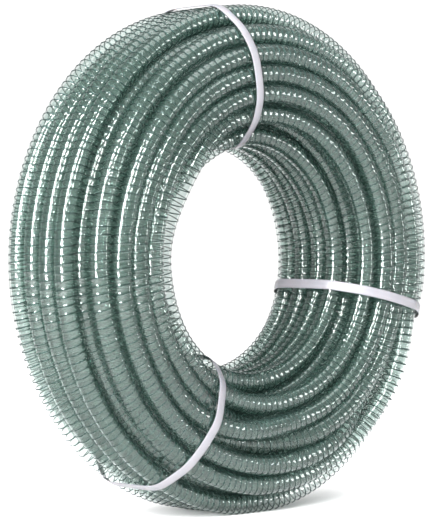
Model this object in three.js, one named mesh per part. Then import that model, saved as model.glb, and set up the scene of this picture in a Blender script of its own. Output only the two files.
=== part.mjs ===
// Coil of clear PVC hose with a spring-steel spiral in its wall, held by three plastic straps.
// The coil stands on its rim as it does in the warehouse: X runs across it, Y along its axis
// with the front face towards -Y, and Z up from the floor. All sizes are in millimetres.

import * as THREE from 'three';

// Hose and winding
const hoseDiameter = 26;
const turnGap = 1.4;
const layerPress = 0.6;
const eyeRadius = 141.5;
const turnsPerLayer = [4, 6, 7, 7, 7, 6, 4];

// How round the wound solid is drawn
const facetsPerTurn = 40;
const arcStep = THREE.MathUtils.degToRad(22.5);
const grooveFlank = 2.5 * arcStep;

// Straps: flat polypropylene tape, drawn tight and welded where the ends lap
const strapWidth = 12;
const strapThickness = 0.8;
const strapClearance = 0.8;
const strapLapLength = 30;
const strapAngles = { strap_top: 349, strap_right: 104, strap_low: 211 };

const hoseRadius = hoseDiameter / 2;
const turnPitch = hoseDiameter + turnGap;
const layerPitch = hoseDiameter - layerPress;
const outerRadius = eyeRadius + hoseDiameter + (turnsPerLayer.length - 1) * layerPitch;

const clearPvc = new THREE.MeshStandardMaterial({ color: 0x6f9488, roughness: 0.2, metalness: 0 });
const strapPlastic = new THREE.MeshStandardMaterial({ color: 0xe4e2e8, roughness: 0.45, metalness: 0 });

/** Centres of the turns of one layer, as (radius, place along the axis), front to back. */
function layerCentres(layer) {
  const count = turnsPerLayer[layer];
  const radius = eyeRadius + hoseRadius + layer * layerPitch;
  const centres = [];
  for (let turn = 0; turn < count; turn += 1) {
    centres.push(new THREE.Vector2(radius, (turn - (count - 1) / 2) * turnPitch));
  }
  return centres;
}

/** Turns on the outside of the wound section, in order round it: rim, back, eye, front. */
function boundaryCentres() {
  const layers = turnsPerLayer.map((count, layer) => layerCentres(layer));
  const eyeLayer = layers[0];
  const rimLayer = layers[layers.length - 1];
  const between = layers.slice(1, -1);
  const frontEnds = between.map((centres) => centres[0]);
  const backEnds = between.map((centres) => centres[centres.length - 1]);
  return [...rimLayer, ...backEnds.reverse(), ...[...eyeLayer].reverse(), ...frontEnds];
}

/** Angle of the outward normal of the line from one centre to the next. */
function outwardAngle(from, to) {
  return Math.atan2(-(to.x - from.x), to.y - from.y);
}

/** The same angle, moved by whole turns to lie no more than half a turn from another. */
function unwrapped(angle, near) {
  return angle - 2 * Math.PI * Math.round((angle - near) / (2 * Math.PI));
}

/** Points on a circle about a centre, from one angle to another in steps of the arc grid. */
function arcPoints(centre, radius, startAngle, endAngle) {
  const points = [];
  const first = Math.floor(startAngle / arcStep) + 0.5;
  for (let step = first; step * arcStep <= endAngle + 1e-6; step += 1) {
    const angle = step * arcStep;
    points.push(new THREE.Vector2(
      centre.x + radius * Math.cos(angle),
      centre.y + radius * Math.sin(angle),
    ));
  }
  return points;
}

/** Outline of the wound section: one ridge for each outside turn, with a groove between turns. */
function windingOutline() {
  const centres = boundaryCentres();
  const count = centres.length;
  return centres.flatMap((centre, index) => {
    const previous = centres[(index + count - 1) % count];
    const next = centres[(index + 1) % count];
    const arriving = outwardAngle(previous, centre);
    const leaving = unwrapped(outwardAngle(centre, next), arriving);
    return arcPoints(centre, hoseRadius, arriving - grooveFlank, leaving + grooveFlank);
  });
}

/** Corners of the tight loop round a set of centres, anticlockwise. */
function convexHull(centres) {
  const sorted = [...centres].sort((a, b) => a.x - b.x || a.y - b.y);
  const turn = (a, b, c) => (b.x - a.x) * (c.y - a.y) - (b.y - a.y) * (c.x - a.x);
  const halfHull = (points) => {
    const chain = [];
    for (const point of points) {
      while (chain.length > 1 && turn(chain.at(-2), chain.at(-1), point) <= 1e-6) {
        chain.pop();
      }
      chain.push(point);
    }
    return chain.slice(0, -1);
  };
  return [...halfHull(sorted), ...halfHull(sorted.reverse())];
}

/** Outline of a tape drawn tight round the turns, at a distance from the hose surfaces. */
function tapeOutline(distance) {
  const hull = convexHull(boundaryCentres());
  const count = hull.length;
  const radius = hoseRadius + distance;
  return hull.flatMap((centre, index) => {
    const arriving = outwardAngle(hull[(index + count - 1) % count], centre);
    const leaving = unwrapped(outwardAngle(centre, hull[(index + 1) % count]), arriving);
    const steps = Math.max(1, Math.round((leaving - arriving) / arcStep));
    return Array.from({ length: steps + 1 }, (unused, step) => {
      const angle = arriving + ((leaving - arriving) * step) / steps;
      return new THREE.Vector2(
        centre.x + radius * Math.cos(angle),
        centre.y + radius * Math.sin(angle),
      );
    });
  });
}

/** Outer outline of a strap, with the step where its two ends lap on the back of the coil. */
function strapOuterOutline() {
  const outline = tapeOutline(strapClearance + strapThickness);
  const backFace = Math.max(...outline.map((point) => point.y));
  const middle = (eyeRadius + outerRadius) / 2;
  const lap = [
    new THREE.Vector2(middle + strapLapLength / 2, backFace),
    new THREE.Vector2(middle + strapLapLength / 2, backFace + strapThickness),
    new THREE.Vector2(middle - strapLapLength / 2, backFace + strapThickness),
    new THREE.Vector2(middle - strapLapLength / 2, backFace),
  ];
  const firstBelow = outline.findIndex((point, index) => (
    index > 0 && point.y > backFace - 1e-6 && outline[index - 1].y > backFace - 1e-6
    && point.x < middle && outline[index - 1].x > middle
  ));
  return [...outline.slice(0, firstBelow), ...lap, ...outline.slice(firstBelow)];
}

/** The wound hose as one turned solid, with a flat facet under it. */
function makeCoil() {
  const outline = windingOutline();
  const geometry = new THREE.LatheGeometry(
    [...outline, outline[0]],
    facetsPerTurn,
    Math.PI / facetsPerTurn,
  );
  const coil = new THREE.Mesh(geometry, clearPvc);
  coil.name = 'hose_coil';
  return coil;
}

/** A strap round the section, at an angle clockwise from the top as seen from the front. */
function makeStrap(name, degrees) {
  const shape = new THREE.Shape(strapOuterOutline());
  shape.holes.push(new THREE.Path(tapeOutline(strapClearance)));
  const geometry = new THREE.ExtrudeGeometry(shape, { depth: strapWidth, bevelEnabled: false });
  geometry.translate(0, 0, -strapWidth / 2);

  const angle = THREE.MathUtils.degToRad(degrees);
  const outward = new THREE.Vector3(Math.sin(angle), 0, Math.cos(angle));
  const alongAxis = new THREE.Vector3(0, 1, 0);
  const acrossTape = new THREE.Vector3().crossVectors(outward, alongAxis);
  const strap = new THREE.Mesh(geometry, strapPlastic);
  strap.name = name;
  strap.setRotationFromMatrix(new THREE.Matrix4().makeBasis(outward, alongAxis, acrossTape));
  return strap;
}

/** Height of the coil's axis above the floor that its lowest crest facet lies on. */
function axisHeight() {
  const crestRadius = Math.max(...windingOutline().map((point) => point.x));
  return crestRadius * Math.cos(Math.PI / facetsPerTurn);
}

const hoseCoil = new THREE.Group();
hoseCoil.name = 'clear_hose_coil';
hoseCoil.add(makeCoil());
for (const [name, degrees] of Object.entries(strapAngles)) {
  hoseCoil.add(makeStrap(name, degrees));
}
// The laps stand out at the back by one strap, so half of that centres the whole on the origin.
hoseCoil.position.set(0, -strapThickness / 2, axisHeight());

export default hoseCoil;
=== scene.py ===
"""Coil of clear PVC drain hose with a spring-steel spiral, strapped, standing on its rim.

The coil's axis lies along Y with the front face towards -Y, and the floor is at Z = 0. Angles
round the coil run clockwise from the top as the front face is seen. Lengths are in metres.
"""

import logging
import math
from dataclasses import dataclass, field
from enum import Enum
from typing import Any, Sequence

import bpy
import numpy as np
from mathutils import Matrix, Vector


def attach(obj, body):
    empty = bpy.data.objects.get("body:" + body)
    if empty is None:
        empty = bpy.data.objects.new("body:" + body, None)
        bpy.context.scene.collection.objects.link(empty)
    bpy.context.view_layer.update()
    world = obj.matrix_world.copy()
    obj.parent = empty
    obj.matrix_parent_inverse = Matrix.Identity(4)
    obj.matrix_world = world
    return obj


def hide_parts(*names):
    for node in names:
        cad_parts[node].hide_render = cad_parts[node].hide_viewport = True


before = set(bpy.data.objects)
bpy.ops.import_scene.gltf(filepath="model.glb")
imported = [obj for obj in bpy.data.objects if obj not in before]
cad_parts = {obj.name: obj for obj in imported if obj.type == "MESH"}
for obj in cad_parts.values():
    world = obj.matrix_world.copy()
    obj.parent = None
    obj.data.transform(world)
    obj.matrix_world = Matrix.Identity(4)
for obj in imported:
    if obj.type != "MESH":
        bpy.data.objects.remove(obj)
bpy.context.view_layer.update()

log = logging.getLogger("hose_coil")

SEED = 41
NOISE_DETAIL = 2.0
SAME_LINE = 1e-9
FULL_TURN = 2 * math.pi


class Slot(Enum):
    """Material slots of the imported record."""

    CLEAR_PVC = "clear_pvc"
    WHITE_STRAP = "white_strap"
    SPRING_STEEL = "spring_steel"


class ShaderNode(Enum):
    """Shader nodes that the finishes are built from."""

    OUTPUT = "ShaderNodeOutputMaterial"
    PRINCIPLED = "ShaderNodeBsdfPrincipled"
    TRANSPARENT = "ShaderNodeBsdfTransparent"
    DIFFUSE = "ShaderNodeBsdfDiffuse"
    TRANSLUCENT = "ShaderNodeBsdfTranslucent"
    EMISSION = "ShaderNodeEmission"
    GLOSSY = "ShaderNodeBsdfAnisotropic"
    MIX = "ShaderNodeMixShader"
    ADD = "ShaderNodeAddShader"
    LAYER_WEIGHT = "ShaderNodeLayerWeight"
    GEOMETRY = "ShaderNodeNewGeometry"
    UV_MAP = "ShaderNodeUVMap"
    SEPARATE = "ShaderNodeSeparateXYZ"
    COORDINATE = "ShaderNodeTexCoord"
    MATH = "ShaderNodeMath"
    NOISE = "ShaderNodeTexNoise"
    MAP_RANGE = "ShaderNodeMapRange"
    RAMP = "ShaderNodeValToRGB"
    BUMP = "ShaderNodeBump"
    BACKGROUND = "ShaderNodeBackground"


def linear(hex_colour: str) -> tuple[float, float, float, float]:
    """Turn an sRGB hex colour into linear light.

    Args:
        hex_colour: The colour as "#rrggbb".

    Returns:
        Red, green, blue and an alpha of 1.
    """
    channels = [int(hex_colour[start : start + 2], 16) / 255 for start in (1, 3, 5)]
    red, green, blue = (
        value / 12.92 if value <= 0.04045 else ((value + 0.055) / 1.055) ** 2.4
        for value in channels
    )
    return red, green, blue, 1.0


def add_node(
    tree: bpy.types.NodeTree,
    kind: ShaderNode,
    settings: dict[str, Any] | None = None,
    inputs: dict[str | int, Any] | None = None,
) -> bpy.types.Node:
    """Add a node, set it up and link it.

    Args:
        tree: The node tree.
        kind: Which shader node to add.
        settings: Values of the node's own properties.
        inputs: For each input socket a plain value, or the output socket that feeds it.

    Returns:
        The new node.
    """
    node = tree.nodes.new(kind.value)
    for name, value in (settings or {}).items():
        setattr(node, name, value)
    for socket, value in (inputs or {}).items():
        if isinstance(value, bpy.types.NodeSocket):
            tree.links.new(value, node.inputs[socket])
        else:
            node.inputs[socket].default_value = value
    return node


def calculate(tree: bpy.types.NodeTree, operation: str, *values: Any) -> bpy.types.NodeSocket:
    """Add a node that works out a number.

    Args:
        tree: The node tree.
        operation: What it does, by the math node's own name.
        values: What it works on, as numbers or sockets.

    Returns:
        The socket with the result.
    """
    inputs = dict(enumerate(values))
    return add_node(tree, ShaderNode.MATH, {"operation": operation}, inputs).outputs[0]


def new_material(name: str) -> tuple[bpy.types.Material, bpy.types.NodeTree]:
    """Make a material with an empty node tree.

    Args:
        name: The material's name.

    Returns:
        The material and its node tree.
    """
    material = bpy.data.materials.new(name)
    material.use_nodes = True
    material.node_tree.nodes.clear()
    return material, material.node_tree


@dataclass(frozen=True)
class ClearPvc:
    """Clear plasticised PVC with a pale blue-green tint, extruded round the steel spiral.

    Extrusion leaves it glossy, and the wall stands a little proud over each turn of the wire,
    which breaks each highlight into dashes. The eye looks straight through the middle of a turn
    and along the wall at its rims, so the haze is thin in the middle and deepens to the rims,
    and turn behind turn goes dark.
    """

    tint: str = "#f0f3f2"
    body: str = "#58756b"
    deep: str = "#34544b"
    body_until: float = 0.15
    deep_from: float = 0.9
    ior: float = 1.53
    gloss_roughness: float = 0.13
    open_share: float = 0.06
    edge_share: float = 0.5
    edge_start: float = 0.55
    passed_on: float = 0.5
    # Strength of a painted glow: emission in the haze colour that stands in for light reaching the
    # inner turns.
    painted_fill_glow: float = 0.2
    grazing_power: float = 5.0
    ridge_depth: float = 0.0005
    ridge_strength: float = 0.6
    ridge_narrowness: float = 4.0
    cloud_scale: float = 40.0
    cloud_swing: float = 0.5

    def make(self) -> bpy.types.Material:
        """Build the finish of the outside as a mix of see-through, hazy and glossy parts, with a
        faint painted glow in the haze that stands in for light reaching the inner turns.

        The gloss follows the usual curve of a plastic's reflection, faint straight on and full
        at a grazing look. It is kept to the outside of the wall.

        Returns:
            The material.
        """
        material, tree = new_material("clear_pvc_extruded")
        bump = self._wire_ridges(tree)
        facing = add_node(tree, ShaderNode.LAYER_WEIGHT, inputs={"Blend": 0.5, "Normal": bump})
        share = add_node(
            tree,
            ShaderNode.MAP_RANGE,
            settings={"interpolation_type": "SMOOTHSTEP"},
            inputs={
                "Value": facing.outputs["Facing"],
                "From Min": self.edge_start,
                "From Max": 1.0,
                "To Min": self.open_share,
                "To Max": self.edge_share,
            },
        )
        haze_colour = self._haze(tree, facing.outputs["Facing"])
        see_through = add_node(tree, ShaderNode.TRANSPARENT, inputs={"Color": linear(self.tint)})
        lit = add_node(tree, ShaderNode.DIFFUSE, inputs={"Color": haze_colour})
        through = add_node(tree, ShaderNode.TRANSLUCENT, inputs={"Color": haze_colour})
        scattered = add_node(
            tree,
            ShaderNode.MIX,
            inputs={0: self.passed_on, 1: lit.outputs[0], 2: through.outputs[0]},
        )
        # Painted light: a faint emission in the haze colour brightens the inner turns as if more
        # light reached them.
        painted_glow = add_node(
            tree, ShaderNode.EMISSION, inputs={"Color": haze_colour, "Strength": self.painted_fill_glow}
        )
        haze = add_node(
            tree, ShaderNode.ADD, inputs={0: scattered.outputs[0], 1: painted_glow.outputs[0]}
        )
        wall = add_node(
            tree,
            ShaderNode.MIX,
            inputs={0: share.outputs[0], 1: see_through.outputs[0], 2: haze.outputs[0]},
        )
        gloss = add_node(
            tree,
            ShaderNode.GLOSSY,
            inputs={
                "Color": linear("#ffffff"),
                "Roughness": self.gloss_roughness,
                "Normal": bump,
            },
        )
        graze = calculate(tree, "POWER", facing.outputs["Facing"], self.grazing_power)
        straight_on = ((self.ior - 1) / (self.ior + 1)) ** 2
        mirror = add_node(
            tree, ShaderNode.MAP_RANGE, inputs={"Value": graze, "To Min": straight_on}
        )
        side = add_node(tree, ShaderNode.GEOMETRY)
        outside = calculate(tree, "SUBTRACT", 1.0, side.outputs["Backfacing"])
        shine = calculate(tree, "MULTIPLY", mirror.outputs[0], outside)
        surface = add_node(
            tree, ShaderNode.MIX, inputs={0: shine, 1: wall.outputs[0], 2: gloss.outputs[0]}
        )
        add_node(tree, ShaderNode.OUTPUT, inputs={"Surface": surface.outputs[0]})
        return material

    def make_bore(self) -> bpy.types.Material:
        """Build the finish of the bore: the same plastic, faintly clouded and without gloss.

        Returns:
            The material.
        """
        material, tree = new_material("clear_pvc_bore")
        see_through = add_node(tree, ShaderNode.TRANSPARENT, inputs={"Color": linear(self.tint)})
        haze = add_node(tree, ShaderNode.DIFFUSE, inputs={"Color": linear(self.body)})
        cloud = add_node(
            tree, ShaderNode.NOISE, inputs={"Scale": self.cloud_scale, "Detail": NOISE_DETAIL}
        )
        share = add_node(
            tree,
            ShaderNode.MAP_RANGE,
            inputs={
                "Value": cloud.outputs["Fac"],
                "To Min": (1 - self.cloud_swing) * self.open_share,
                "To Max": (1 + self.cloud_swing) * self.open_share,
            },
        )
        lining = add_node(
            tree,
            ShaderNode.MIX,
            inputs={0: share.outputs[0], 1: see_through.outputs[0], 2: haze.outputs[0]},
        )
        add_node(tree, ShaderNode.OUTPUT, inputs={"Surface": lining.outputs[0]})
        return material

    def _haze(
        self, tree: bpy.types.NodeTree, facing: bpy.types.NodeSocket
    ) -> bpy.types.NodeSocket:
        """Colour of the wall's own haze, deeper where sight runs long through it.

        Args:
            tree: The material's node tree.
            facing: Socket that is 0 where the wall faces the eye and 1 at its rim.

        Returns:
            The colour socket.
        """
        ramp = add_node(tree, ShaderNode.RAMP, inputs={"Fac": facing})
        near, far = ramp.color_ramp.elements
        near.position, near.color = self.body_until, linear(self.body)
        far.position, far.color = self.deep_from, linear(self.deep)
        return ramp.outputs["Color"]

    def _wire_ridges(self, tree: bpy.types.NodeTree) -> bpy.types.NodeSocket:
        """Raise the wall over each turn of the wire.

        The wall's UV map counts turns of the wire along the hose and turns round it, so the
        wire runs wherever the two differ by a whole number.

        Args:
            tree: The material's node tree.

        Returns:
            The socket with the bumped normal.
        """
        spot = add_node(tree, ShaderNode.UV_MAP, settings={"uv_map": "wall"})
        split = add_node(tree, ShaderNode.SEPARATE, inputs={0: spot.outputs[0]})
        along = calculate(tree, "SUBTRACT", split.outputs["X"], split.outputs["Y"])
        wave = calculate(tree, "COSINE", calculate(tree, "MULTIPLY", along, FULL_TURN))
        crest = add_node(tree, ShaderNode.MAP_RANGE, inputs={"Value": wave, "From Min": -1.0})
        ridge = calculate(tree, "POWER", crest.outputs[0], self.ridge_narrowness)
        bump = add_node(
            tree,
            ShaderNode.BUMP,
            inputs={
                "Strength": self.ridge_strength,
                "Distance": self.ridge_depth,
                "Height": ridge,
            },
        )
        return bump.outputs["Normal"]


@dataclass(frozen=True)
class SpringSteel:
    """Drawn spring-steel wire, seen inside the wall: a dark grey line with a soft shine."""

    colour: str = "#2b3a38"
    roughness: float = 0.38
    shinier_by: float = 0.08
    duller_by: float = 0.1
    streaks_per_metre: float = 900.0

    def make(self) -> bpy.types.Material:
        """Build the finish, with the faint uneven shine that drawing leaves.

        Returns:
            The material.
        """
        material, tree = new_material("spring_steel_drawn")
        place = add_node(tree, ShaderNode.COORDINATE)
        streaks = add_node(
            tree,
            ShaderNode.NOISE,
            inputs={
                "Vector": place.outputs["Object"],
                "Scale": self.streaks_per_metre,
                "Detail": NOISE_DETAIL,
            },
        )
        shine = add_node(
            tree,
            ShaderNode.MAP_RANGE,
            inputs={
                "Value": streaks.outputs["Fac"],
                "To Min": self.roughness - self.shinier_by,
                "To Max": self.roughness + self.duller_by,
            },
        )
        steel = add_node(
            tree,
            ShaderNode.PRINCIPLED,
            inputs={
                "Base Color": linear(self.colour),
                "Metallic": 1.0,
                "Roughness": shine.outputs[0],
            },
        )
        add_node(tree, ShaderNode.OUTPUT, inputs={"Surface": steel.outputs[0]})
        return material


@dataclass(frozen=True)
class StrapPolypropylene:
    """White polypropylene strapping, rolled with a fine diamond emboss.

    The emboss keeps it from mirroring: it shows a broad, soft sheen where it turns to the light.
    The softboxes are strong, so the colour is set well under the near white that they lift it to.
    """

    colour: str = "#67666b"
    ior: float = 1.49
    roughness: float = 0.34
    emboss_pitch: float = 0.0016
    emboss_depth: float = 0.00008
    emboss_strength: float = 0.6
    scatter_weight: float = 0.08
    scatter_length: float = 0.0006

    def make(self) -> bpy.types.Material:
        """Build the finish with its embossed diamonds.

        Returns:
            The material.
        """
        material, tree = new_material("strap_polypropylene_embossed")
        spot = add_node(tree, ShaderNode.UV_MAP, settings={"uv_map": "tape"})
        split = add_node(tree, ShaderNode.SEPARATE, inputs={0: spot.outputs[0]})
        waves = []
        for operation in ("ADD", "SUBTRACT"):
            slant = calculate(tree, operation, split.outputs["X"], split.outputs["Y"])
            scaled = calculate(tree, "MULTIPLY", slant, FULL_TURN / self.emboss_pitch)
            waves.append(calculate(tree, "SINE", scaled))
        diamonds = calculate(tree, "MULTIPLY", *waves)
        bump = add_node(
            tree,
            ShaderNode.BUMP,
            inputs={
                "Strength": self.emboss_strength,
                "Distance": self.emboss_depth,
                "Height": diamonds,
            },
        )
        plastic = add_node(
            tree,
            ShaderNode.PRINCIPLED,
            inputs={
                "Base Color": linear(self.colour),
                "Roughness": self.roughness,
                "IOR": self.ior,
                "Subsurface Weight": self.scatter_weight,
                "Subsurface Scale": self.scatter_length,
                "Normal": bump.outputs["Normal"],
            },
        )
        add_node(tree, ShaderNode.OUTPUT, inputs={"Surface": plastic.outputs[0]})
        return material


@dataclass(frozen=True)
class StudioFloor:
    """Matt white-painted studio floor, a little uneven in sheen as rolled paint is."""

    colour: str = "#f8f8f8"
    smoothest: float = 0.75
    roughest: float = 0.85
    patches_per_metre: float = 3.0

    def make(self) -> bpy.types.Material:
        """Build the finish, rougher and smoother in wide patches.

        Returns:
            The material.
        """
        material, tree = new_material("studio_floor_paint")
        place = add_node(tree, ShaderNode.COORDINATE)
        tone = add_node(
            tree,
            ShaderNode.NOISE,
            inputs={
                "Vector": place.outputs["Object"],
                "Scale": self.patches_per_metre,
                "Detail": NOISE_DETAIL,
            },
        )
        sheen = add_node(
            tree,
            ShaderNode.MAP_RANGE,
            inputs={
                "Value": tone.outputs["Fac"],
                "To Min": self.smoothest,
                "To Max": self.roughest,
            },
        )
        paint = add_node(
            tree,
            ShaderNode.PRINCIPLED,
            inputs={"Base Color": linear(self.colour), "Roughness": sheen.outputs[0]},
        )
        add_node(tree, ShaderNode.OUTPUT, inputs={"Surface": paint.outputs[0]})
        return material


@dataclass
class Skin:
    """A mesh in the making: corners, faces and one UV pair for each corner of each face."""

    corners: np.ndarray
    faces: list[np.ndarray]
    uvs: list[np.ndarray]

    def build(
        self, name: str, uv_name: str, finishes: Sequence[bpy.types.Material], slot: Slot
    ) -> bpy.types.Object:
        """Turn the arrays into a smooth-shaded object that rides with the part.

        Args:
            name: The piece's name.
            uv_name: Name of its UV map.
            finishes: Its finish, or one finish for each block of faces.
            slot: The record's slot that the finishes belong to; not used.

        Returns:
            The new object.
        """
        sizes = np.concatenate([np.full(len(block), block.shape[1]) for block in self.faces])
        loops = np.concatenate([block.ravel() for block in self.faces])
        mesh = bpy.data.meshes.new(name)
        mesh.vertices.add(len(self.corners))
        mesh.vertices.foreach_set("co", self.corners.astype(np.float32).ravel())
        mesh.loops.add(len(loops))
        mesh.loops.foreach_set("vertex_index", loops.astype(np.int32))
        mesh.polygons.add(len(sizes))
        starts = np.concatenate([[0], np.cumsum(sizes)[:-1]])
        mesh.polygons.foreach_set("loop_start", starts.astype(np.int32))
        mesh.polygons.foreach_set("use_smooth", np.ones(len(sizes), dtype=bool))
        layer = mesh.uv_layers.new(name=uv_name)
        pairs = np.concatenate([block.reshape(-1, 2) for block in self.uvs])
        layer.data.foreach_set("uv", pairs.astype(np.float32).ravel())
        for finish in finishes:
            mesh.materials.append(finish)
        if len(finishes) > 1:
            parts = [np.full(len(block), part) for part, block in enumerate(self.faces)]
            mesh.polygons.foreach_set("material_index", np.concatenate(parts).astype(np.int32))
        mesh.update(calc_edges=True)
        mesh.validate()
        piece = bpy.data.objects.new(name, mesh)
        bpy.context.scene.collection.objects.link(piece)
        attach(piece, "root")
        return piece


def tube_faces(rings: int, sides: int, first: int = 0, inward: bool = False) -> np.ndarray:
    """Faces between the rings of a tube.

    Args:
        rings: How many rings the tube has.
        sides: How many corners each ring has.
        first: Number of the tube's first corner.
        inward: True for a bore, whose faces look at its middle.

    Returns:
        One row of four corner numbers for each face, ring by ring.
    """
    ring = np.arange(rings - 1)[:, None] * sides + first
    side = np.arange(sides)[None, :]
    after = (side + 1) % sides
    quads = np.stack(
        [ring + side, ring + after, ring + sides + after, ring + sides + side], axis=-1
    ).reshape(-1, 4)
    return quads[:, ::-1] if inward else quads


def tube_uvs(
    along: np.ndarray, sides: int, round_length: float = 1.0, inward: bool = False
) -> np.ndarray:
    """UV pairs for the faces that tube_faces makes.

    Args:
        along: The lengthwise value at each ring.
        sides: How many corners each ring has.
        round_length: The value that once round the ring comes to.
        inward: True for a bore, as in tube_faces.

    Returns:
        Four pairs for each face.
    """
    side = np.arange(sides) / sides * round_length
    after = (np.arange(sides) + 1) / sides * round_length
    low = np.broadcast_to(along[:-1, None], (len(along) - 1, sides))
    high = np.broadcast_to(along[1:, None], (len(along) - 1, sides))
    side = np.broadcast_to(side, low.shape)
    after = np.broadcast_to(after, low.shape)
    pairs = np.stack(
        [
            np.stack([low, side], axis=-1),
            np.stack([low, after], axis=-1),
            np.stack([high, after], axis=-1),
            np.stack([high, side], axis=-1),
        ],
        axis=2,
    ).reshape(-1, 4, 2)
    return pairs[:, ::-1] if inward else pairs


@dataclass
class Winding:
    """The line that the hose follows, layer upon layer, from the eye out to the rim.

    Each turn lies in its own slot. Once a turn the hose shifts to the next slot, and at the end
    of a layer it rises to the one outside it, swinging a little clear of the face. Where layers
    differ in width, the shifts of the outer one come further back round the coil, so the hose
    never runs through itself. The section is tight under the straps and swells between them.
    """

    eye_radius: float = 0.1415
    hose_diameter: float = 0.026
    turn_pitch: float = 0.0274
    layer_pitch: float = 0.0254
    turns_per_layer: tuple[int, ...] = (4, 6, 7, 7, 7, 6, 4)
    layer_spread: tuple[float, ...] = (1.0, 1.04, 1.005, 1.02, 1.005, 1.04, 1.0)
    rim_crown: float = 0.03
    axis_height: float = 0.31867
    shift_length: float = 0.140
    rise_length: float = 0.210
    swing: float = 0.008
    first_shift_angle: float = 332.0
    end_clearance: float = 0.012
    strap_angles: tuple[float, ...] = (349.0, 104.0, 211.0)
    tight_scale: float = 0.990
    loose_scale: float = 1.006
    wander: float = 0.0005
    wander_lengths: tuple[float, ...] = (0.23, 0.41, 0.67, 1.1)
    early_lead: float = 0.9
    late_lead: float = 0.2
    even_lead: float = 0.4
    floor_softness: float = 0.0008
    step: float = 0.002
    distance: np.ndarray = field(init=False)
    points: np.ndarray = field(init=False)
    tangents: np.ndarray = field(init=False)
    outward: np.ndarray = field(init=False)
    sideways: np.ndarray = field(init=False)
    angles: np.ndarray = field(init=False)
    layer_marks: list[float] = field(init=False)

    def __post_init__(self) -> None:
        """Lay the line out and work out its directions."""
        travel, radii, places, layer_starts = self._slots()
        theta = math.radians(self.first_shift_angle) + travel
        swell = self._swell(theta)
        middle_layer = (len(self.turns_per_layer) - 1) / 2
        middle = self.eye_radius + self.hose_diameter / 2 + middle_layer * self.layer_pitch
        widest = (max(self.turns_per_layer) - 1) / 2 * self.turn_pitch
        crown = 1 - self.rim_crown * (places / widest) ** 2
        drift_out, drift_side = self._drift(travel, radii)
        radii = middle + (radii - middle) * swell * crown + drift_out
        places = places * swell + drift_side
        height = self._rest_on_floor(self.axis_height + radii * np.cos(theta))
        self.points = np.stack([radii * np.sin(theta), places, height], axis=1)
        gaps = np.linalg.norm(np.diff(self.points, axis=0), axis=1)
        self.distance = np.concatenate([[0.0], np.cumsum(gaps)])
        self.angles = theta
        slope = np.gradient(self.points, axis=0)
        self.tangents = slope / np.linalg.norm(slope, axis=1, keepdims=True)
        radial = np.stack([np.sin(theta), np.zeros_like(theta), np.cos(theta)], axis=1)
        radial -= self.tangents * np.sum(radial * self.tangents, axis=1, keepdims=True)
        self.outward = radial / np.linalg.norm(radial, axis=1, keepdims=True)
        self.sideways = np.cross(self.tangents, self.outward)
        self.layer_marks = [float(self.distance[index]) for index in layer_starts]

    @property
    def length(self) -> float:
        """Length of hose in the coil."""
        return float(self.distance[-1])

    def _slots(self) -> tuple[np.ndarray, np.ndarray, np.ndarray, list[int]]:
        """Run through the slots in winding order.

        Returns:
            The angle travelled, the radius and the place along the axis at each step, and the
            number of the step where each layer begins.
        """
        layers = len(self.turns_per_layer)
        radius = [
            self.eye_radius + self.hose_diameter / 2 + layer * self.layer_pitch
            for layer in range(layers)
        ]
        rows: list[np.ndarray] = []
        done = 0.0

        def run(until: float, radii: tuple[float, float], slots: tuple[float, float]) -> None:
            """Add one stretch of hose, straight on or moving smoothly to another slot.

            Args:
                until: The angle travelled at its end.
                radii: Radius at its start and at its end.
                slots: Place along the axis at its start and at its end.
            """
            nonlocal done
            steps = max(2, round((until - done) * radii[0] / self.step))
            share = np.arange(steps) / steps
            ease = 0.5 - 0.5 * np.cos(math.pi * share)
            rising = radii[1] > radii[0]
            swing = math.copysign(self.swing, slots[0]) if rising else 0.0
            rows.append(
                np.stack(
                    [
                        done + (until - done) * share,
                        radii[0] + (radii[1] - radii[0]) * ease,
                        slots[0]
                        + (slots[1] - slots[0]) * ease
                        + swing * np.sin(math.pi * share) ** 2,
                    ]
                )
            )
            done = until

        layer_starts = []
        shift_start = FULL_TURN - self.shift_length / radius[0]
        for layer, turns in enumerate(self.turns_per_layer):
            here = radius[layer]
            slots = self._layer_slots(layer)
            layer_starts.append(sum(row.shape[1] for row in rows))
            shift = self.shift_length / here
            for slot, after in zip(slots, slots[1:]):
                run(shift_start, (here, here), (slot, slot))
                run(shift_start + shift, (here, here), (slot, after))
                shift_start += FULL_TURN
            if layer == layers - 1:
                end = shift_start - self.end_clearance / here
                run(end, (here, here), (slots[-1], slots[-1]))
                break
            above = radius[layer + 1]
            leave_lead, enter_lead = self._leads(turns, self.turns_per_layer[layer + 1])
            leave = shift_start - leave_lead * shift
            run(leave, (here, here), (slots[-1], slots[-1]))
            rise = 2 * self.rise_length / (here + above)
            run(leave + rise, (here, above), (slots[-1], self._layer_slots(layer + 1)[0]))
            shift_start = leave - enter_lead * self.shift_length / above + FULL_TURN
        travel, radii, places = np.concatenate(rows, axis=1)
        return travel, radii, places, layer_starts

    def _layer_slots(self, layer: int) -> list[float]:
        """Places along the axis of a layer's turns, in the order that they are wound.

        Args:
            layer: The layer's number, counted from the eye.

        Returns:
            One place for each turn.
        """
        turns = self.turns_per_layer[layer]
        side = 1 if layer % 2 == 0 else -1
        pitch = self.turn_pitch * self.layer_spread[layer]
        return [side * ((turns - 1) / 2 - turn) * pitch for turn in range(turns)]

    def _leads(self, turns: int, turns_above: int) -> tuple[float, float]:
        """How far the rise comes before the shifts below it, and the shifts above before it.

        Args:
            turns: Turns in the layer that the hose leaves.
            turns_above: Turns in the layer that it enters.

        Returns:
            Both leads, as shares of a shift.
        """
        if turns_above > turns:
            return self.late_lead, self.early_lead
        if turns_above < turns:
            return self.early_lead, self.late_lead
        return self.even_lead, self.even_lead

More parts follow.
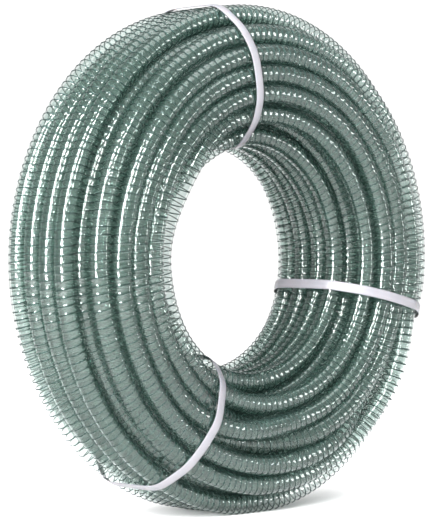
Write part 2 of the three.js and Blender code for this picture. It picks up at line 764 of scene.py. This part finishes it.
    def _swell(self, theta: np.ndarray) -> np.ndarray:
        """How much the section swells: tight under the straps, loose between them.

        Args:
            theta: Angles round the coil.

        Returns:
            The section's scale at each angle.
        """
        straps = np.sort(np.radians(self.strap_angles) % FULL_TURN)
        around = np.concatenate([straps - FULL_TURN, straps, straps + FULL_TURN])
        spot = theta % FULL_TURN
        upper = np.searchsorted(around, spot, side="right")
        share = (spot - around[upper - 1]) / (around[upper] - around[upper - 1])
        return self.tight_scale + (self.loose_scale - self.tight_scale) * np.sin(math.pi * share)

    def _drift(self, travel: np.ndarray, radii: np.ndarray) -> tuple[np.ndarray, np.ndarray]:
        """Small slow wanderings of the hose within its slot.

        Args:
            travel: The angle travelled at each step.
            radii: The radius at each step.

        Returns:
            The wanderings outward and sideways.
        """
        draw = np.random.default_rng(SEED)
        arc = travel * float(np.mean(radii))
        drifts = []
        for _ in range(2):
            total = np.zeros_like(travel)
            for wavelength in self.wander_lengths:
                phase = draw.uniform(0, FULL_TURN)
                total += np.sin(FULL_TURN * arc / wavelength + phase)
            drifts.append(self.wander * total / 2)
        return drifts[0], drifts[1]

    def _rest_on_floor(self, height: np.ndarray) -> np.ndarray:
        """Press the lowest turns up smoothly, so that they rest on the floor and not in it.

        Args:
            height: Height of the line at each step, as wound.

        Returns:
            The height at each step, never under the hose's own radius.
        """
        radius = self.hose_diameter / 2
        above = height - radius
        return radius + 0.5 * (above + np.sqrt(above**2 + self.floor_softness**2))

    def at(self, distance: np.ndarray) -> tuple[np.ndarray, np.ndarray, np.ndarray, np.ndarray]:
        """Place and directions at distances along the hose.

        Args:
            distance: Distances from the inner end, in rising order.

        Returns:
            Points, outward directions, sideways directions and tangents.
        """
        found = [
            np.stack(
                [np.interp(distance, self.distance, values[:, axis]) for axis in range(3)], axis=1
            )
            for values in (self.points, self.outward, self.sideways, self.tangents)
        ]
        return found[0], found[1], found[2], found[3]

    def section(self, degrees: float) -> np.ndarray:
        """Where the hose passes a half-plane through the coil's axis.

        Args:
            degrees: The half-plane's angle round the coil.

        Returns:
            One row for each turn: distance from the coil's axis, and place along it.
        """
        laps = (self.angles - math.radians(degrees)) / FULL_TURN
        crossing = np.nonzero(np.floor(laps[1:]) != np.floor(laps[:-1]))[0]
        height = self.points[:, 2] - self.axis_height
        radii = np.hypot(self.points[:, 0], height)
        return np.stack([radii[crossing], self.points[crossing, 1]], axis=1)


@dataclass
class Hose:
    """The extruded PVC wall: one closed skin, outside, bore and square-cut ends."""

    winding: Winding
    finish: ClearPvc = field(default_factory=ClearPvc)
    wall_diameter: float = 0.0248
    bore: float = 0.020
    spiral_pitch: float = 0.0096
    ring_spacing: float = 0.0150
    sides: int = 16
    bore_sides: int = 8

    def build(self) -> bpy.types.Object:
        """Returns:
            The wall.
        """
        rings = round(self.winding.length / self.ring_spacing) + 1
        along = np.linspace(0.0, self.winding.length, rings)
        points, outward, sideways, _ = self.winding.at(along)
        outside = self._wall(points, outward, sideways, self.wall_diameter / 2, self.sides)
        inside = self._wall(points, outward, sideways, self.bore / 2, self.bore_sides)
        first_inside = rings * self.sides
        turns = along / self.spiral_pitch
        last, last_inside = ((rings - 1) * count for count in (self.sides, self.bore_sides))
        ends = [
            self._end(0, first_inside, at_start=True),
            self._end(last, first_inside + last_inside, at_start=False),
        ]
        skin = Skin(
            corners=np.concatenate([outside.reshape(-1, 3), inside.reshape(-1, 3)]),
            faces=[
                tube_faces(rings, self.sides),
                tube_faces(rings, self.bore_sides, first_inside, inward=True),
                *ends,
            ],
            uvs=[
                tube_uvs(turns, self.sides),
                tube_uvs(turns, self.bore_sides, inward=True),
                *[np.zeros((len(end), end.shape[1], 2)) for end in ends],
            ],
        )
        outer, bore = self.finish.make(), self.finish.make_bore()
        wall = skin.build("hose_wall", "wall", (outer, bore, outer, outer), Slot.CLEAR_PVC)
        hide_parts("hose_coil")
        return wall

    def _wall(
        self,
        points: np.ndarray,
        outward: np.ndarray,
        sideways: np.ndarray,
        radius: float,
        sides: int,
    ) -> np.ndarray:
        """Rings of corners round the line.

        Args:
            points: The line.
            outward: Directions away from the coil's axis.
            sideways: Directions square to those and to the line.
            radius: Radius of the rings.
            sides: Corners in a ring.

        Returns:
            Corners as rings by sides by three.
        """
        turn = FULL_TURN * np.arange(sides) / sides
        return (
            points[:, None]
            + radius * np.cos(turn)[None, :, None] * outward[:, None]
            + radius * np.sin(turn)[None, :, None] * sideways[:, None]
        )

    def _end(self, outside: int, inside: int, at_start: bool) -> np.ndarray:
        """Faces of a square-cut end, between the outside and the bore.

        Args:
            outside: Number of the first corner of the outside ring.
            inside: Number of the first corner of the bore's ring.
            at_start: True at the inner end, which faces back along the hose.

        Returns:
            Triangles, three to each side of the bore.
        """
        faces = []
        for side in range(self.bore_sides):
            a, b, c = (outside + (2 * side + step) % self.sides for step in range(3))
            d, e = inside + side, inside + (side + 1) % self.bore_sides
            faces += [(a, d, b), (b, d, e), (b, e, c)]
        order = slice(None) if at_start else slice(None, None, -1)
        return np.array(faces)[:, order]


@dataclass
class Spiral:
    """The steel wire in the hose wall, wound as a screw line round the bore."""

    winding: Winding
    finish: SpringSteel = field(default_factory=SpringSteel)
    wire_diameter: float = 0.0014
    spiral_radius: float = 0.0126
    spiral_pitch: float = 0.0096
    steps_per_turn: int = 12
    end_margin: float = 0.004
    corners: int = 4

    def build(self) -> list[bpy.types.Object]:
        """Make the wire layer by layer, so that no piece holds too many faces.

        Returns:
            The wire of each layer, from the eye outward.
        """
        material = self.finish.make()
        marks = [*self.winding.layer_marks, self.winding.length]
        return [
            self._layer(f"spiral_layer_{number}", start, end, material)
            for number, (start, end) in enumerate(zip(marks, marks[1:]), start=1)
        ]

    def _layer(
        self, name: str, start: float, end: float, material: bpy.types.Material
    ) -> bpy.types.Object:
        """Make the wire of one layer.

        Args:
            name: The piece's name.
            start: Where the layer begins along the hose.
            end: Where it ends.
            material: The wire's finish.

        Returns:
            The wire.
        """
        start = max(start, self.end_margin)
        end = min(end, self.winding.length - self.end_margin)
        steps = round((end - start) / self.spiral_pitch * self.steps_per_turn)
        along = np.linspace(start, end, steps + 1)
        points, outward, sideways, tangents = self.winding.at(along)
        turn = FULL_TURN * along / self.spiral_pitch
        normal = np.cos(turn)[:, None] * outward + np.sin(turn)[:, None] * sideways
        centres = points + self.spiral_radius * normal
        radius = self.wire_diameter / 2
        corner = FULL_TURN * np.arange(self.corners) / self.corners
        rings = (
            centres[:, None]
            + radius * np.cos(corner)[None, :, None] * normal[:, None]
            - radius * np.sin(corner)[None, :, None] * tangents[:, None]
        )
        last = steps * self.corners
        ends = [
            np.arange(self.corners)[None, ::-1],
            last + np.arange(self.corners)[None, :],
        ]
        skin = Skin(
            corners=rings.reshape(-1, 3),
            faces=[tube_faces(steps + 1, self.corners), *ends],
            uvs=[
                tube_uvs(along, self.corners),
                *[np.zeros((1, self.corners, 2)) for _ in ends],
            ],
        )
        return skin.build(name, "wire", (material,), Slot.SPRING_STEEL)


@dataclass
class Strap:
    """One length of strapping drawn tight round the section, its ends lapped and welded."""

    winding: Winding
    node: str
    degrees: float
    material: bpy.types.Material
    width: float = 0.012
    thickness: float = 0.0008
    seat_gap: float = 0.0002
    lap_length: float = 0.030
    step: float = 0.0025
    edge_round: float = 0.0003
    ease_length: float = 0.009
    lap_steepness: float = 0.2
    flat_facing: float = 0.99

    def build(self) -> bpy.types.Object:
        """Make the strap from the turns that it really crosses.

        Returns:
            The strap.
        """
        line, normals = self._line()
        angle = math.radians(self.degrees)
        radial = np.array([math.sin(angle), 0.0, math.cos(angle)])
        axis = np.array([0.0, 1.0, 0.0])
        across = np.cross(radial, axis)
        centre = np.array([0.0, 0.0, self.winding.axis_height])
        points = centre + line[:, :1] * radial + line[:, 1:] * axis
        facing = normals[:, :1] * radial + normals[:, 1:] * axis
        profile = self._profile()
        rings = (
            points[:, None]
            + profile[None, :, :1] * across[None, None]
            + profile[None, :, 1:] * facing[:, None]
        )
        sides = len(profile)
        count = len(points)
        gaps = np.linalg.norm(np.diff(points, axis=0), axis=1)
        along = np.concatenate([[0.0], np.cumsum(gaps)])
        ends = [
            np.arange(sides)[None, ::-1],
            (count - 1) * sides + np.arange(sides)[None, :],
        ]
        skin = Skin(
            corners=rings.reshape(-1, 3),
            faces=[tube_faces(count, sides), *ends],
            uvs=[
                tube_uvs(along, sides, round_length=2 * self.width),
                *[np.zeros((1, sides, 2)) for _ in ends],
            ],
        )
        strap = skin.build(f"{self.node}_tape", "tape", (self.material,), Slot.WHITE_STRAP)
        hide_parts(self.node)
        return strap

    def _profile(self) -> np.ndarray:
        """Section of the tape with rounded edges.

        Returns:
            Its corners as (across, outward) pairs.
        """
        half, top, edge = self.width / 2, self.thickness, self.edge_round
        return np.array(
            [
                (-half + edge, 0.0),
                (-half, edge),
                (-half, top - edge),
                (-half + edge, top),
                (-half / 3, top),
                (half / 3, top),
                (half - edge, top),
                (half, top - edge),
                (half, edge),
                (half - edge, 0.0),
            ]
        )

    def _line(self) -> tuple[np.ndarray, np.ndarray]:
        """The tape's underside round the section, with the lap on the coil's back.

        Returns:
            Points as (radius, place along the axis), and the outward directions there.
        """
        hull = self._tight_loop(self.winding.section(self.degrees))
        radius = self.winding.hose_diameter / 2 + self.seat_gap
        points: list[np.ndarray] = []
        normals: list[np.ndarray] = []
        count = len(hull)
        for index, centre in enumerate(hull):
            after = hull[(index + 1) % count]
            before = hull[index - 1]
            arriving = self._outward_angle(before, centre)
            leaving = self._outward_angle(centre, after)
            leaving += FULL_TURN * round((arriving - leaving) / FULL_TURN)
            steps = max(1, math.ceil((leaving - arriving) * radius / self.step))
            for turn in np.linspace(arriving, leaving, steps + 1):
                normal = np.array([math.cos(turn), math.sin(turn)])
                points.append(centre + radius * normal)
                normals.append(normal)
            normal = np.array([math.cos(leaving), math.sin(leaving)])
            reach = float(np.linalg.norm(after - centre))
            spots = max(2, round(reach / self.step / 3))
            for share in np.linspace(0, 1, spots)[1:-1]:
                points.append(centre + radius * normal + (after - centre) * share)
                normals.append(normal)
        line, facing = self._eased(np.array(points), hull, radius)
        off_middle = np.abs(line[:, 0] - np.mean(hull[:, 0]))
        back = np.argmin(np.where(facing[:, 1] < self.flat_facing, math.inf, off_middle))
        line, facing = np.roll(line, -back, axis=0), np.roll(facing, -back, axis=0)
        gaps = np.linalg.norm(np.diff(line, axis=0), axis=1)
        lap = int(np.searchsorted(np.cumsum(gaps), self.lap_length)) + 1
        rise = np.linspace(0, 1, lap + 1) ** self.lap_steepness
        over = line[: lap + 1] + facing[: lap + 1] * (self.thickness * rise)[:, None]
        return np.concatenate([line, over]), np.concatenate([facing, facing[: lap + 1]])

    def _eased(
        self, points: np.ndarray, hull: np.ndarray, radius: float
    ) -> tuple[np.ndarray, np.ndarray]:
        """Round the loop off, as the soft turns give under the tape, and keep it clear of them.

        Args:
            points: The tight loop.
            hull: Centres of the turns at its corners.
            radius: Least distance of the tape from those centres.

        Returns:
            Points at even steps round the loop, and the outward directions there.
        """
        closed = np.concatenate([points, points[:1]])
        reach = np.concatenate([[0.0], np.cumsum(np.linalg.norm(np.diff(closed, axis=0), axis=1))])
        count = round(reach[-1] / self.step)
        spots = reach[-1] * np.arange(count) / count
        even = np.stack([np.interp(spots, reach, closed[:, axis]) for axis in range(2)], axis=1)
        width = round(3 * self.ease_length / self.step)
        weights = np.exp(-0.5 * (np.arange(-width, width + 1) * self.step / self.ease_length) ** 2)
        weights /= weights.sum()
        eased = sum(
            weight * np.roll(even, width - place, axis=0) for place, weight in enumerate(weights)
        )
        slope = np.roll(eased, -1, axis=0) - np.roll(eased, 1, axis=0)
        slope /= np.linalg.norm(slope, axis=1, keepdims=True)
        facing = np.stack([slope[:, 1], -slope[:, 0]], axis=1)
        inside = np.linalg.norm(eased[:, None] - hull[None], axis=2).min(axis=0)
        return eased + facing * max(0.0, float(radius - inside.min())), facing

    @staticmethod
    def _outward_angle(start: np.ndarray, end: np.ndarray) -> float:
        """Angle of the outward normal of a line that runs anticlockwise round the section."""
        return math.atan2(-(end[0] - start[0]), end[1] - start[1])

    @staticmethod
    def _tight_loop(centres: np.ndarray) -> np.ndarray:
        """Corners of the tight loop round the turns.

        Args:
            centres: Centres of the turns.

        Returns:
            The centres on the loop, anticlockwise.
        """
        ordered = centres[np.lexsort((centres[:, 1], centres[:, 0]))]

        def half(points: Sequence[np.ndarray]) -> list[np.ndarray]:
            """One side of the loop.

            Args:
                points: The centres in order across the section.

            Returns:
                The centres on that side, without the last.
            """
            chain: list[np.ndarray] = []
            for point in points:
                while len(chain) > 1:
                    one, two = chain[-1] - chain[-2], point - chain[-2]
                    if one[0] * two[1] - one[1] * two[0] > SAME_LINE:
                        break
                    chain.pop()
                chain.append(point)
            return chain[:-1]

        return np.array(half(ordered) + half(ordered[::-1]))


@dataclass
class Studio:
    """Pale floor, soft lights and the camera."""

    coil_centre: Vector
    camera_azimuth: float = 44.4
    camera_elevation: float = 0.9
    camera_distance: float = 2.859
    lens: float = 156.0
    sensor_width: float = 36.0
    aim_right: float = -0.0168
    aim_up: float = -0.0014
    floor_radius: float = 14.0
    floor_corners: int = 96
    wall_light: float = 1.12
    see_through_layers: int = 32

    def build(self) -> None:
        """Put the camera, the floor and the lights round the coil.

        The tall softboxes on the rim's side draw the long highlights on the outside turns, and
        the ones in front draw the rows of dots on the face.
        """
        self._camera()
        self._floor()
        self._world()
        self._softbox("key_softbox", (-2.6, -0.6, 1.3), (0.5, 3.4), 290.0)
        self._softbox("side_softbox", (-2.3, -1.3, 1.7), (0.3, 1.5), 70.0)
        self._softbox("front_softbox", (-1.3, -2.1, 2.1), (0.35, 1.5), 90.0)
        self._softbox("low_softbox", (-2.5, -0.9, 0.4), (0.35, 0.7), 80.0)
        self._softbox("right_softbox", (2.0, -2.3, 0.8), (0.25, 1.4), 32.0)
        self._softbox("top_softbox", (0.4, -0.4, 2.6), (1.6, 1.6), 40.0)

    def _camera(self) -> None:
        """Place the camera as the photograph was taken."""
        azimuth = math.radians(self.camera_azimuth)
        elevation = math.radians(self.camera_elevation)
        back = Vector(
            (
                -math.sin(azimuth) * math.cos(elevation),
                -math.cos(azimuth) * math.cos(elevation),
                math.sin(elevation),
            )
        )
        right = (-back).cross(Vector((0, 0, 1))).normalized()
        up = right.cross(-back)
        data = bpy.data.cameras.new("camera")
        data.lens = self.lens
        data.sensor_width = self.sensor_width
        camera = bpy.data.objects.new("camera", data)
        bpy.context.scene.collection.objects.link(camera)
        camera.location = self.coil_centre + back * self.camera_distance
        target = self.coil_centre + right * self.aim_right + up * self.aim_up
        camera.rotation_euler = (target - camera.location).to_track_quat("-Z", "Y").to_euler()
        bpy.context.scene.camera = camera

    def _floor(self) -> None:
        """Lay the floor as a wide disc."""
        corners = range(self.floor_corners)
        turns = [FULL_TURN * corner / self.floor_corners for corner in corners]
        ring = [
            (self.floor_radius * math.cos(turn), self.floor_radius * math.sin(turn), 0.0)
            for turn in turns
        ]
        mesh = bpy.data.meshes.new("studio_floor")
        mesh.from_pydata(ring, [], [tuple(corners)])
        mesh.materials.append(StudioFloor().make())
        floor = bpy.data.objects.new("studio_floor", mesh)
        bpy.context.scene.collection.objects.link(floor)

    def _world(self) -> None:
        """Light the room evenly, as white studio walls do, and let sight pass the clear turns."""
        world = bpy.data.worlds.new("studio")
        world.use_nodes = True
        world.node_tree.nodes.clear()
        sky = add_node(
            world.node_tree,
            ShaderNode.BACKGROUND,
            inputs={"Color": linear("#ffffff"), "Strength": self.wall_light},
        )
        output = world.node_tree.nodes.new("ShaderNodeOutputWorld")
        world.node_tree.links.new(sky.outputs[0], output.inputs["Surface"])
        bpy.context.scene.world = world
        bpy.context.scene.view_settings.view_transform = "Standard"
        bpy.context.scene.cycles.transparent_max_bounces = self.see_through_layers

    def _softbox(
        self,
        name: str,
        place: tuple[float, float, float],
        size: tuple[float, float],
        power: float,
    ) -> None:
        """Hang a rectangular light that faces the coil.

        Args:
            name: The light's name.
            place: Where it hangs.
            size: Its width and height.
            power: Its power in watts.
        """
        data = bpy.data.lights.new(name, "AREA")
        data.shape = "RECTANGLE"
        data.size, data.size_y = size
        data.energy = power
        light = bpy.data.objects.new(name, data)
        bpy.context.scene.collection.objects.link(light)
        light.location = place
        aim = self.coil_centre - light.location
        light.rotation_euler = aim.to_track_quat("-Z", "Y").to_euler()


def main() -> None:
    """Build the studio and the coil in it, piece by piece."""
    logging.basicConfig(level=logging.INFO, format="%(name)s: %(message)s")
    winding = Winding()
    Studio(Vector((0.0, 0.0, winding.axis_height))).build()
    log.info("winding of %.2f m", winding.length)
    hose = Hose(winding).build()
    log.info("%s with %d faces", hose.name, len(hose.data.polygons))
    for wire in Spiral(winding).build():
        log.info("%s with %d faces", wire.name, len(wire.data.polygons))
    tape = StrapPolypropylene().make()
    names = ("strap_top", "strap_right", "strap_low")
    for node, degrees in zip(names, winding.strap_angles):
        strap = Strap(winding, node, degrees, tape).build()
        log.info("%s with %d faces", strap.name, len(strap.data.polygons))


if __name__ == "__main__":
    main()
